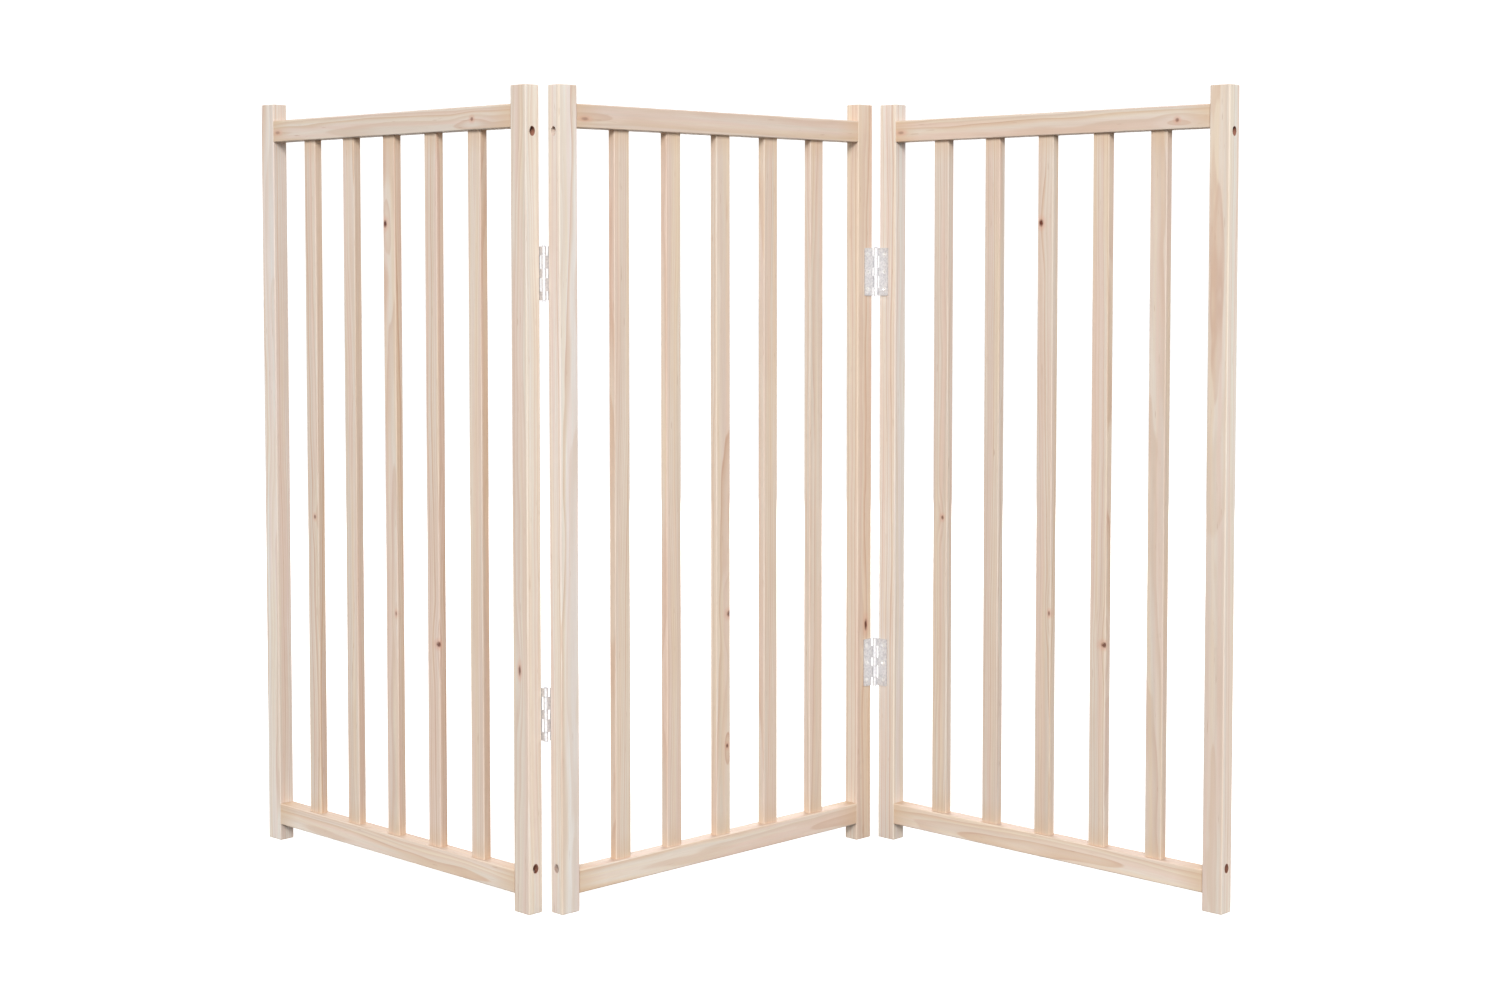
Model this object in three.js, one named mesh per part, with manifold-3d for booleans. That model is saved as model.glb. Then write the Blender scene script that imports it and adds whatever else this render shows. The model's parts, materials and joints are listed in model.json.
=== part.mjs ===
// Free-standing folding pet gate: three slatted wooden panels joined by four butt hinges.
// Millimetres, +Z up. The gate stands in a Z seen from above, its middle panel centred on the origin.
//
// Every panel is a group with its own frame: X runs along the panel from its left end, Y runs from its
// front face to its rear face, and Z is height.

import * as THREE from 'three';
import { mergeVertices } from 'three/addons/utils/BufferGeometryUtils.js';
import Module from 'manifold-3d';

// ---- Driving dimensions -----------------------------------------------------------------------------

const PANEL_WIDTH = 500;
const PANEL_HEIGHT = 910;
const PANEL_DEPTH = 19.5;
const FOLD_ANGLE = 44.3; // each panel's turn from the gate's long direction, in degrees

const POST_WIDTH = 25.5;
const RAIL_HEIGHT = 26;
const RAIL_INSET = 20; // clear height under the bottom rail, and post left standing above the top rail
const WOOD_EDGE_RADIUS = 1.4;
const POST_END_CHAMFER = 0.8;

const SLAT_COUNT = 5;
const SLAT_PITCH = 78;
const SLAT_WIDTH = 22;
const SLAT_DEPTH = 10;
const SLAT_EDGE_RADIUS = 1;
const SLAT_HOUSING = 8; // length of each slat end inside its rail
const JOINT_GAP = 0.3; // glue line around every housed, butted or screwed piece

const SCREW_HOLE_RISE = 4.2; // hole mouth's distance past the rail's inner edge
const SCREW_SKEW = 34; // the frame screws lean towards the middle of the rail, in degrees
const COUNTERBORE_RADIUS = 3.8;
const COUNTERBORE_DEPTH = 9;
const MOUTH_RELIEF = { halfWidth: 4, halfHeight: 5.6, depth: 1.1, taper: 0.72 }; // eased, oval hole mouth
const FRAME_SCREW_RADIUS = 1.8;
const FRAME_SCREW_LENGTH = 35;
const FRAME_SCREW_POINT = 5;
const FRAME_SCREW_HEAD_RADIUS = 3.4;
const FRAME_SCREW_HEAD_DEPTH = 2.4;
const FRAME_SCREW_HEAD_BEVEL = 1;
const DRIVE_RECESS_RADIUS = 1.3;
const DRIVE_RECESS_DEPTH = 1.4;
const DRIVE_RECESS_SIDES = 4;

const HINGE_CENTRES = { upper: 705.5, lower: 220.5 };
const PIN_PAST_POST = 3.6; // pin axis, measured along the panel past the post's side face
const PIN_OFF_FACE = 2.9; // pin axis, measured out from the post's front or rear face
const BARREL_RADIUS = 2.7;
const PIN_RADIUS = 1.3;
const PIN_CLEARANCE = 0.09;
const PIN_HEAD_RADIUS = 2.2;
const PIN_HEAD_DEPTH = 1;
const PIN_END_PLAY = 0.35;
const KNUCKLE_LENGTHS = [10, 14.4, 10.2, 14.4, 10]; // from the top
const KNUCKLE_GAP = 0.3;
const LEAF_COVER = 14.3; // width of post face under the leaf
const LEAF_SETBACK = 0.6; // the leaf's plain edge, measured in from the post's side face
const LEAF_THICKNESS = 1.2;
const LEAF_LIFT = 0.25;
const LEAF_SCREW_HOLES = [ // [distance in from the post's side face, height from the hinge's middle]
  [9.2, 21.5],
  [8.6, 0],
  [9.2, -21.5],
];
const LEAF_HOLE_RADIUS = 1.7;
const LEAF_SINK_RADIUS = 2.9;

const BARREL_SEGMENTS = 16;
const HOLE_SEGMENTS = 12;
const OVERRUN = 1; // how far a cutter reaches past the face it opens
const OVERLAP = 0.5; // how far two shapes share material before they are joined
const SINK_OVERRUN = 0.2;

// ---- Finishes, and joining and cutting --------------------------------------------------------------

const wasm = await Module();
wasm.setup();

const FINISHES = {
  fir: { color: 0xe3cdb4, roughness: 0.6, metalness: 0 },
  zinc: { color: 0xc4c6ca, roughness: 0.35, metalness: 1 },
  screw: { color: 0xb9bbc0, roughness: 0.3, metalness: 1 },
};

const UP = new THREE.Vector3(0, 0, 1);

const radians = THREE.MathUtils.degToRad;

function toSolid(geometry) {
  const bare = geometry.clone();
  bare.deleteAttribute('normal');
  bare.deleteAttribute('uv');
  const welded = mergeVertices(bare, 1e-4);
  const mesh = new wasm.Mesh({
    numProp: 3,
    vertProperties: new Float32Array(welded.attributes.position.array),
    triVerts: new Uint32Array(welded.index.array),
  });
  return new wasm.Manifold(mesh);
}

function toGeometry(solid) {
  const mesh = solid.getMesh();
  const geometry = new THREE.BufferGeometry();
  geometry.setAttribute('position', new THREE.BufferAttribute(new Float32Array(mesh.vertProperties), 3));
  geometry.setIndex(new THREE.BufferAttribute(new Uint32Array(mesh.triVerts), 1));
  geometry.computeVertexNormals();
  return geometry;
}

function join(geometries) {
  return toGeometry(geometries.map(toSolid).reduce((whole, solid) => whole.add(solid)));
}

function cut(geometry, cutters) {
  const blank = toSolid(geometry);
  return toGeometry(cutters.map(toSolid).reduce((rest, cutter) => rest.subtract(cutter), blank));
}

// Cuts a piece drawn about its own origin with cutters drawn in the frame the piece is placed in.
function cutInPlace(geometry, position, cutters) {
  const moved = cutters.map((cutter) => cutter.translate(-position.x, -position.y, -position.z));
  return cut(geometry, moved);
}

// ---- Basic shapes -----------------------------------------------------------------------------------

function roundedRectangle(width, depth, radius) {
  const x = width / 2;
  const y = depth / 2;
  const shape = new THREE.Shape();
  shape.moveTo(radius - x, -y);
  shape.lineTo(x - radius, -y);
  shape.absarc(x - radius, radius - y, radius, -Math.PI / 2, 0);
  shape.lineTo(x, y - radius);
  shape.absarc(x - radius, y - radius, radius, 0, Math.PI / 2);
  shape.lineTo(radius - x, y);
  shape.absarc(radius - x, y - radius, radius, Math.PI / 2, Math.PI);
  shape.lineTo(-x, radius - y);
  shape.absarc(radius - x, radius - y, radius, Math.PI, Math.PI * 1.5);
  return shape;
}

// An upright bar with eased long edges, centred on the Z axis and standing on Z = 0.
function bar(width, depth, length, radius, endChamfer) {
  const geometry = new THREE.ExtrudeGeometry(roundedRectangle(width, depth, radius), {
    depth: length - 2 * endChamfer,
    curveSegments: 2,
    bevelEnabled: endChamfer > 0,
    bevelThickness: endChamfer,
    bevelSize: endChamfer,
    bevelOffset: -endChamfer,
    bevelSegments: 1,
  });
  return geometry.translate(0, 0, endChamfer);
}

// A cone or cylinder on the Z axis, between two heights.
function cone(bottomRadius, topRadius, bottom, top, segments) {
  const geometry = new THREE.CylinderGeometry(topRadius, bottomRadius, top - bottom, segments);
  return geometry.rotateX(Math.PI / 2).translate(0, 0, (bottom + top) / 2);
}

function cylinder(radius, bottom, top, segments) {
  return cone(radius, radius, bottom, top, segments);
}

function box(low, high) {
  const size = high.map((value, axis) => value - low[axis]);
  const middle = high.map((value, axis) => (value + low[axis]) / 2);
  return new THREE.BoxGeometry(...size).translate(...middle);
}

function lathe(profile, segments) {
  const points = profile.map(([radius, height]) => new THREE.Vector2(radius, height));
  return new THREE.LatheGeometry(points, segments).rotateX(Math.PI / 2);
}

// ---- Places in the panel's frame --------------------------------------------------------------------

const MID_DEPTH = PANEL_DEPTH / 2;
const RAIL_LENGTH = PANEL_WIDTH - 2 * POST_WIDTH - 2 * JOINT_GAP;
const RAIL_CENTRES = {
  top: PANEL_HEIGHT - RAIL_INSET - RAIL_HEIGHT / 2,
  bottom: RAIL_INSET + RAIL_HEIGHT / 2,
};
const SLAT_BOTTOM = RAIL_CENTRES.bottom + RAIL_HEIGHT / 2 - SLAT_HOUSING;
const SLAT_TOP = RAIL_CENTRES.top - RAIL_HEIGHT / 2 + SLAT_HOUSING;

function postPosition(side) {
  const x = side === 'left' ? POST_WIDTH / 2 : PANEL_WIDTH - POST_WIDTH / 2;
  return new THREE.Vector3(x, MID_DEPTH, 0);
}

function railPosition(level) {
  return new THREE.Vector3(PANEL_WIDTH / 2, MID_DEPTH, RAIL_CENTRES[level]);
}

function slatPositions() {
  const first = PANEL_WIDTH / 2 - SLAT_PITCH * (SLAT_COUNT - 1) / 2;
  return Array.from({ length: SLAT_COUNT }, (unused, index) => (
    new THREE.Vector3(first + index * SLAT_PITCH, MID_DEPTH, SLAT_BOTTOM)
  ));
}

function screwMouth(side, level) {
  const inwards = level === 'bottom' ? 1 : -1;
  const height = RAIL_CENTRES[level] + inwards * (RAIL_HEIGHT / 2 + SCREW_HOLE_RISE);
  return new THREE.Vector3(side === 'left' ? 0 : PANEL_WIDTH, MID_DEPTH, height);
}

// One frame screw's axis. Its Z runs out of the hole, and its origin is the middle of the hole's mouth.
function screwAxis(side, level) {
  const outwards = new THREE.Vector3(
    (side === 'left' ? -1 : 1) * Math.cos(radians(SCREW_SKEW)),
    0,
    (level === 'bottom' ? 1 : -1) * Math.sin(radians(SCREW_SKEW)),
  );
  const turn = new THREE.Quaternion().setFromUnitVectors(UP, outwards);
  return new THREE.Matrix4().compose(screwMouth(side, level), turn, new THREE.Vector3(1, 1, 1));
}

// ---- Screw holes and frame screws -------------------------------------------------------------------

// The relief is a shallow cone, widest a little outside the post and narrowest inside it.
function mouthRelief(side, level) {
  const { halfWidth, halfHeight, depth, taper } = MOUTH_RELIEF;
  const mouth = screwMouth(side, level);
  return cone(taper, 1 + (1 - taper) / 2, -depth, depth / 2, HOLE_SEGMENTS)
    .rotateY(side === 'left' ? -Math.PI / 2 : Math.PI / 2)
    .scale(1, halfWidth, halfHeight)
    .translate(mouth.x, mouth.y, mouth.z);
}

function frameScrewCuts(side, level) {
  const axis = screwAxis(side, level);
  const reach = COUNTERBORE_DEPTH + FRAME_SCREW_LENGTH + OVERRUN;
  const counterbore = cylinder(COUNTERBORE_RADIUS, -COUNTERBORE_DEPTH, COUNTERBORE_DEPTH, HOLE_SEGMENTS);
  const clearance = cylinder(FRAME_SCREW_RADIUS + JOINT_GAP, -reach, 0, HOLE_SEGMENTS);
  return [counterbore.applyMatrix4(axis), clearance.applyMatrix4(axis), mouthRelief(side, level)];
}

function frameScrew() {
  const seat = JOINT_GAP - COUNTERBORE_DEPTH;
  const top = seat + FRAME_SCREW_HEAD_DEPTH;
  const tip = seat - FRAME_SCREW_LENGTH;
  const blank = lathe([
    [0, tip],
    [FRAME_SCREW_RADIUS, tip + FRAME_SCREW_POINT],
    [FRAME_SCREW_RADIUS, seat],
    [FRAME_SCREW_HEAD_RADIUS, seat],
    [FRAME_SCREW_HEAD_RADIUS, top - FRAME_SCREW_HEAD_BEVEL],
    [FRAME_SCREW_HEAD_RADIUS - FRAME_SCREW_HEAD_BEVEL, top],
    [0, top],
  ], HOLE_SEGMENTS);
  const recess = lathe([
    [0, top - DRIVE_RECESS_DEPTH],
    [DRIVE_RECESS_RADIUS, top],
    [DRIVE_RECESS_RADIUS, top + OVERRUN],
    [0, top + OVERRUN],
  ], DRIVE_RECESS_SIDES);
  return cut(blank, [recess]);
}

// ---- Wooden pieces, each about its own origin -------------------------------------------------------

function post(side) {
  const blank = bar(POST_WIDTH, PANEL_DEPTH, PANEL_HEIGHT, WOOD_EDGE_RADIUS, POST_END_CHAMFER);
  const cutters = [...frameScrewCuts(side, 'top'), ...frameScrewCuts(side, 'bottom')];
  return cutInPlace(blank, postPosition(side), cutters);
}

// A slat, or with a gap around it the mortise that holds one.
function slat(gap = 0) {
  const width = SLAT_WIDTH + 2 * gap;
  const depth = SLAT_DEPTH + 2 * gap;
  const length = SLAT_TOP - SLAT_BOTTOM + 2 * gap;
  return bar(width, depth, length, SLAT_EDGE_RADIUS + gap, 0).translate(0, 0, -gap);
}

function rail(level) {
  const blank = bar(RAIL_HEIGHT, PANEL_DEPTH, RAIL_LENGTH, WOOD_EDGE_RADIUS, 0)
    .translate(0, 0, -RAIL_LENGTH / 2)
    .rotateY(Math.PI / 2);
  const mortises = slatPositions().map(({ x, y, z }) => slat(JOINT_GAP).translate(x, y, z));
  const cutters = [...mortises, ...frameScrewCuts('left', level), ...frameScrewCuts('right', level)];
  return cutInPlace(blank, railPosition(level), cutters);
}

// ---- Hinges, in a frame with the pin on the Z axis --------------------------------------------------
// X runs from the pin towards the leaf's own post, and Y runs out from the face the leaf lies on.

const HINGE_LENGTH = KNUCKLE_LENGTHS.reduce((sum, length) => sum + length, 0);

function knuckleSpans() {
  let top = HINGE_LENGTH / 2;
  return KNUCKLE_LENGTHS.map((length) => {
    const span = [top - length + KNUCKLE_GAP / 2, top - KNUCKLE_GAP / 2];
    top -= length;
    return span;
  });
}

function leaf(holdsOuterKnuckles) {
  const plateFrom = LEAF_LIFT - PIN_OFF_FACE;
  const plateTo = plateFrom + LEAF_THICKNESS;
  const plainEdge = PIN_PAST_POST + LEAF_SETBACK;
  const farEdge = PIN_PAST_POST + LEAF_COVER;
  const end = (HINGE_LENGTH - KNUCKLE_GAP) / 2;
  const pieces = [box([plainEdge, plateFrom, -end], [farEdge, plateTo, end])];
  knuckleSpans().forEach(([low, high], index) => {
    if ((index % 2 === 0) === holdsOuterKnuckles) {
      pieces.push(cylinder(BARREL_RADIUS, low, high, BARREL_SEGMENTS));
      pieces.push(box([0, plateFrom, low], [plainEdge + OVERLAP, plateTo, high]));
    }
  });
  const cutters = [cylinder(PIN_RADIUS + PIN_CLEARANCE, -end - OVERRUN, end + OVERRUN, BARREL_SEGMENTS)];
  const sinkTop = LEAF_THICKNESS + SINK_OVERRUN;
  for (const [inset, height] of LEAF_SCREW_HOLES) {
    const hole = cylinder(LEAF_HOLE_RADIUS, -OVERRUN, OVERRUN, HOLE_SEGMENTS);
    const sink = cone(LEAF_HOLE_RADIUS, LEAF_SINK_RADIUS, 0, sinkTop, HOLE_SEGMENTS);
    for (const cutter of [hole, sink]) {
      cutters.push(cutter.rotateX(-Math.PI / 2).translate(PIN_PAST_POST + inset, plateFrom, height));
    }
  }
  return cut(join(pieces), cutters);
}

function hingePin() {
  const seat = (HINGE_LENGTH - KNUCKLE_GAP) / 2 + PIN_END_PLAY;
  const end = seat + PIN_HEAD_DEPTH;
  const bevel = PIN_HEAD_DEPTH / 2;
  return lathe([
    [0, -end],
    [PIN_HEAD_RADIUS - bevel, -end],
    [PIN_HEAD_RADIUS, bevel - end],
    [PIN_HEAD_RADIUS, -seat],
    [PIN_RADIUS, -seat],
    [PIN_RADIUS, seat],
    [PIN_HEAD_RADIUS, seat],
    [PIN_HEAD_RADIUS, end - bevel],
    [PIN_HEAD_RADIUS - bevel, end],
    [0, end],
  ], BARREL_SEGMENTS);
}

function pinPosition(end, side) {
  const x = end === 'left' ? -PIN_PAST_POST : PANEL_WIDTH + PIN_PAST_POST;
  const y = side === 'rear' ? PANEL_DEPTH + PIN_OFF_FACE : -PIN_OFF_FACE;
  return new THREE.Vector3(x, y, 0);
}

// Places the hinge frame at the panel's left or right end, on its front or rear side. A leaf is alike
// both ways up, so a leaf of the other hand is the same one turned over.
function hingePlacement(end, side, height) {
  const position = pinPosition(end, side).setZ(height);
  const axisX = new THREE.Vector3(end === 'left' ? 1 : -1, 0, 0);
  const axisY = new THREE.Vector3(0, side === 'rear' ? 1 : -1, 0);
  const axisZ = new THREE.Vector3().crossVectors(axisX, axisY);
  return new THREE.Matrix4().makeBasis(axisX, axisY, axisZ).setPosition(position);
}

// ---- The gate ---------------------------------------------------------------------------------------

// Turns a panel by an angle and puts its own point `local` on the gate's point `target`.
function panelPlacement(angle, local, target) {
  const turn = new THREE.Matrix4().makeRotationZ(radians(angle));
  const position = target.clone().sub(local.clone().applyMatrix4(turn));
  return turn.setPosition(position);
}

const middleCentre = new THREE.Vector3(PANEL_WIDTH / 2, MID_DEPTH, 0);
const middlePlacement = panelPlacement(FOLD_ANGLE, middleCentre, new THREE.Vector3());
const leftPin = pinPosition('left', 'rear').applyMatrix4(middlePlacement);
const rightPin = pinPosition('right', 'front').applyMatrix4(middlePlacement);
const PLACEMENTS = {
  left: panelPlacement(-FOLD_ANGLE, pinPosition('right', 'rear'), leftPin),
  middle: middlePlacement,
  right: panelPlacement(-FOLD_ANGLE, pinPosition('left', 'front'), rightPin),
};

// Each hinge line: the side its barrels lie on, and the panel ends its two leaves lie on.
const HINGE_LINES = {
  left: { side: 'rear', outer: ['left', 'right'], inner: ['middle', 'left'] },
  right: { side: 'front', outer: ['right', 'left'], inner: ['middle', 'right'] },
};

function makePiece(name, geometry, finish) {
  const material = new THREE.MeshStandardMaterial({ name: finish, ...FINISHES[finish] });
  const mesh = new THREE.Mesh(geometry, material);
  mesh.name = name;
  return mesh;
}

function makePanel(name) {
  const panel = new THREE.Group();
  panel.name = `${name}_panel`;
  for (const side of ['left', 'right']) {
    const piece = makePiece(`${panel.name}_${side}_post`, post(side), 'fir');
    piece.position.copy(postPosition(side));
    panel.add(piece);
  }
  for (const level of ['top', 'bottom']) {
    const piece = makePiece(`${panel.name}_${level}_rail`, rail(level), 'fir');
    piece.position.copy(railPosition(level));
    panel.add(piece);
  }
  slatPositions().forEach((position, index) => {
    const piece = makePiece(`${panel.name}_slat_${index + 1}`, slat(), 'fir');
    piece.position.copy(position);
    panel.add(piece);
  });
  for (const level of ['top', 'bottom']) {
    for (const side of ['left', 'right']) {
      const piece = makePiece(`${panel.name}_${level}_${side}_screw`, frameScrew(), 'screw');
      piece.applyMatrix4(screwAxis(side, level));
      panel.add(piece);
    }
  }
  return panel;
}

// The outer panel's leaf holds the outer and middle knuckles, and the pin rides with it.
function addHinge(panels, line, level) {
  const { side, outer, inner } = HINGE_LINES[line];
  const name = `${line}_${level}_hinge`;
  const [outerPanel, outerEnd] = outer;
  const [innerPanel, innerEnd] = inner;
  const outerLeaf = makePiece(`${name}_${outerPanel}_leaf`, leaf(true), 'zinc');
  const pin = makePiece(`${name}_pin`, hingePin(), 'zinc');
  const innerLeaf = makePiece(`${name}_${innerPanel}_leaf`, leaf(false), 'zinc');
  outerLeaf.applyMatrix4(hingePlacement(outerEnd, side, HINGE_CENTRES[level]));
  pin.applyMatrix4(hingePlacement(outerEnd, side, HINGE_CENTRES[level]));
  innerLeaf.applyMatrix4(hingePlacement(innerEnd, side, HINGE_CENTRES[level]));
  panels[outerPanel].add(outerLeaf, pin);
  panels[innerPanel].add(innerLeaf);
}

const panels = {};
for (const [name, placement] of Object.entries(PLACEMENTS)) {
  panels[name] = makePanel(name);
  panels[name].applyMatrix4(placement);
}
for (const line of Object.keys(HINGE_LINES)) {
  for (const level of Object.keys(HINGE_CENTRES)) {
    addHinge(panels, line, level);
  }
}

const gate = new THREE.Group();
gate.name = 'pet_gate';
gate.add(...Object.values(panels));

export default gate;
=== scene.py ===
"""Looks of the folding pet gate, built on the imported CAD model. Metres, +Z up, the CAD's frame.

Each wooden bar, hinge leaf, pin and screw is rebuilt here in mesh code at the place of its CAD node.
A bar is made in its own frame first: X across its width, Y across its depth and Z along its grain.
"""

import json
import math
import random

import bmesh
import bpy
import numpy as np
from mathutils import Matrix, Vector


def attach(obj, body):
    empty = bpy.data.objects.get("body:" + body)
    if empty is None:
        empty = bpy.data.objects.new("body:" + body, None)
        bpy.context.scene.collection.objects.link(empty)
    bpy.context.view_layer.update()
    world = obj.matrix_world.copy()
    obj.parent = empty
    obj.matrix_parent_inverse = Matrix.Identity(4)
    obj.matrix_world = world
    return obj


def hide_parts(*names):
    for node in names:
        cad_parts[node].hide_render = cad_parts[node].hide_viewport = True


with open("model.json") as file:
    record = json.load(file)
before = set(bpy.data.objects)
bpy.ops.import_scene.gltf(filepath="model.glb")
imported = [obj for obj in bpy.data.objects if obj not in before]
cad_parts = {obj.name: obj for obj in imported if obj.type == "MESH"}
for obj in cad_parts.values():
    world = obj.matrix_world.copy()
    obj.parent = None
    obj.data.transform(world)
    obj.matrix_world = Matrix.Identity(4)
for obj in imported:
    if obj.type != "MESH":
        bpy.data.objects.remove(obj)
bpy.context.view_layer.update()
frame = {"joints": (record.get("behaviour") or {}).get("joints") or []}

MM = 0.001

# ---- Sizes, the same as the CAD's ------------------------------------------------------------------

PANEL_WIDTH = 500 * MM
PANEL_HEIGHT = 910 * MM
PANEL_DEPTH = 19.5 * MM
POST_WIDTH = 25.5 * MM
RAIL_HEIGHT = 26 * MM
RAIL_INSET = 20 * MM
WOOD_RADIUS = 1.4 * MM
END_ROUNDING = 0.8 * MM

SLAT_COUNT = 5
SLAT_PITCH = 78 * MM
SLAT_WIDTH = 22 * MM
SLAT_DEPTH = 10 * MM
SLAT_RADIUS = 1 * MM
SLAT_HOUSING = 8 * MM
JOINT_GAP = 0.3 * MM

HOLE_RISE = 4.2 * MM
HOLE_SKEW = math.radians(34)
BORE_RADIUS = 3.8 * MM
BORE_DEPTH = 9 * MM
MOUTH_HALF_WIDTH = 4 * MM
MOUTH_HALF_HEIGHT = 5.6 * MM
MOUTH_DEPTH = 1.1 * MM
MOUTH_TAPER = 0.72
SCREW_RADIUS = 1.8 * MM
SCREW_LENGTH = 35 * MM
SCREW_HEAD_RADIUS = 3.4 * MM
SCREW_HEAD_DEPTH = 2.4 * MM

HINGE_HEIGHTS = {"upper": 705.5 * MM, "lower": 220.5 * MM}
PIN_PAST_POST = 3.6 * MM
PIN_OFF_FACE = 2.9 * MM
BARREL_RADIUS = 2.7 * MM
PIN_RADIUS = 1.3 * MM
PIN_CLEARANCE = 0.09 * MM
KNUCKLES = [10 * MM, 14.4 * MM, 10.2 * MM, 14.4 * MM, 10 * MM]  # from the top
KNUCKLE_GAP = 0.3 * MM
LEAF_COVER = 14.3 * MM
LEAF_SETBACK = 0.6 * MM
LEAF_THICKNESS = 1.2 * MM
LEAF_LIFT = 0.25 * MM
LEAF_HOLES = [(9.2 * MM, 21.5 * MM), (8.6 * MM, 0), (9.2 * MM, -21.5 * MM)]
LEAF_HOLE_RADIUS = 1.7 * MM
LEAF_SINK_RADIUS = 2.9 * MM

BOTTOM_RAIL = RAIL_INSET
TOP_RAIL = PANEL_HEIGHT - RAIL_INSET - RAIL_HEIGHT
MID_DEPTH = PANEL_DEPTH / 2
RAIL_LENGTH = PANEL_WIDTH - 2 * POST_WIDTH - 2 * JOINT_GAP
SLAT_BOTTOM = BOTTOM_RAIL + RAIL_HEIGHT - SLAT_HOUSING
SLAT_LENGTH = TOP_RAIL + SLAT_HOUSING - SLAT_BOTTOM

# ---- Where the panels stand, from the CAD's two hinge lines ------------------------------------------

pins = {j["name"]: Vector(j["pos_m"]).to_2d().to_3d() for j in frame["joints"]}
LEFT_PIN, RIGHT_PIN = pins["left_fold"], pins["right_fold"]


def pin_in_panel(end, side):
    """A hinge line's place in a panel's own frame."""
    x = -PIN_PAST_POST if end == "left" else PANEL_WIDTH + PIN_PAST_POST
    y = PANEL_DEPTH + PIN_OFF_FACE if side == "rear" else -PIN_OFF_FACE
    return Vector((x, y, 0))


def heading(v):
    return math.atan2(v.y, v.x)


ACROSS_PANEL = pin_in_panel("right", "front") - pin_in_panel("left", "rear")
FOLD = heading(RIGHT_PIN - LEFT_PIN) - heading(ACROSS_PANEL)


def placed(angle, local, target):
    """Turns a panel by an angle and puts its own point `local` on `target`."""
    turn = Matrix.Rotation(angle, 4, "Z")
    return Matrix.Translation(target - turn @ local) @ turn


PANELS = {
    "left": placed(-FOLD, pin_in_panel("right", "rear"), LEFT_PIN),
    "middle": placed(FOLD, pin_in_panel("left", "rear"), LEFT_PIN),
    "right": placed(-FOLD, pin_in_panel("left", "front"), RIGHT_PIN),
}

# ---- Mesh helpers ------------------------------------------------------------------------------------


def new_object(name, verts, faces, smooth=True):
    """A mesh object with its faces turned outwards."""
    mesh = bpy.data.meshes.new(name)
    mesh.from_pydata([tuple(v) for v in verts], [], faces)
    mesh.validate()
    bm = bmesh.new()
    bm.from_mesh(mesh)
    bmesh.ops.recalc_face_normals(bm, faces=bm.faces)
    bm.to_mesh(mesh)
    bm.free()
    if smooth:
        mesh.shade_smooth()
    else:
        mesh.shade_flat()
    ob = bpy.data.objects.new(name, mesh)
    bpy.context.collection.objects.link(ob)
    return ob


def loft(rings):
    """Vertices and faces of a skin through equal rings of points, with a cap on each end."""
    n = len(rings[0])
    verts = [p for ring in rings for p in ring]
    faces = []
    for i in range(len(rings) - 1):
        for k in range(n):
            m = (k + 1) % n
            faces.append((i * n + k, i * n + m, (i + 1) * n + m, (i + 1) * n + k))
    faces.append(tuple(range(n))[::-1])
    faces.append(tuple((len(rings) - 1) * n + k for k in range(n)))
    return verts, faces


def baked(ob):
    """Applies an object's modifiers to its mesh."""
    depsgraph = bpy.context.evaluated_depsgraph_get()
    mesh = bpy.data.meshes.new_from_object(ob.evaluated_get(depsgraph), depsgraph=depsgraph)
    ob.modifiers.clear()
    old = ob.data
    ob.data = mesh
    bpy.data.meshes.remove(old)
    return ob


def combine(ob, others, operation="DIFFERENCE"):
    """Cuts the other solids out of this one, or joins them to it, and removes them."""
    for other in others:
        mod = ob.modifiers.new("combine", "BOOLEAN")
        mod.operation, mod.solver, mod.object = operation, "EXACT", other
    bpy.context.view_layer.update()
    baked(ob)
    for other in others:
        mesh = other.data
        bpy.data.objects.remove(other)
        bpy.data.meshes.remove(mesh)
    return ob


def edged(ob, width, segments, angle):
    """Bevels the edges that are sharper than the angle."""
    mod = ob.modifiers.new("edges", "BEVEL")
    mod.width, mod.segments, mod.limit_method = width, segments, "ANGLE"
    mod.angle_limit = math.radians(angle)
    bpy.context.view_layer.update()
    return baked(ob)


def turned(profile, name, segments=32):
    """A turned solid round Z. The profile's first and last points lie on the axis."""
    inner = profile[1:-1]
    verts = [(0, 0, profile[0][1]), (0, 0, profile[-1][1])]
    for r, z in inner:
        for k in range(segments):
            a = 2 * math.pi * k / segments
            verts.append((r * math.cos(a), r * math.sin(a), z))
    faces = []
    last = 2 + (len(inner) - 1) * segments
    for k in range(segments):
        m = (k + 1) % segments
        faces.append((0, 2 + m, 2 + k))
        faces.append((1, last + k, last + m))
        for i in range(len(inner) - 1):
            a = 2 + i * segments
            faces.append((a + k, a + m, a + segments + m, a + segments + k))
    return new_object(name, verts, faces)


def shaded(ob, degrees):
    """Smooth shading, with sharp edges at more than the angle, and flat faces kept truly flat."""
    bm = bmesh.new()
    bm.from_mesh(ob.data)
    for edge in bm.edges:
        edge.smooth = len(edge.link_faces) != 2 or edge.calc_face_angle(0) < math.radians(degrees)
    for face in bm.faces:
        face.smooth = True
    bm.to_mesh(ob.data)
    bm.free()
    mod = ob.modifiers.new("normals", "WEIGHTED_NORMAL")
    mod.keep_sharp = True
    bpy.context.view_layer.update()
    return baked(ob)


# ---- Wooden bars -------------------------------------------------------------------------------------

WOOD_SHARP = 24  # edges of more than this angle, in degrees, stay sharp
END_STEPS = 5
BODY_STEP = 35 * MM
EDGE_DRIFT = 0.16
DRIFT_WAVES = (23, 61, 140)
CORNER_STEPS = 5
CORNER_MARGIN = 0.9 * MM
CORNERS = ((1, -1, -90), (1, 1, 0), (-1, 1, 90), (-1, -1, 180))  # signs of x and y, and first heading


def heading_vector(degrees):
    a = math.radians(degrees)
    return Vector((math.cos(a), math.sin(a)))


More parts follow.
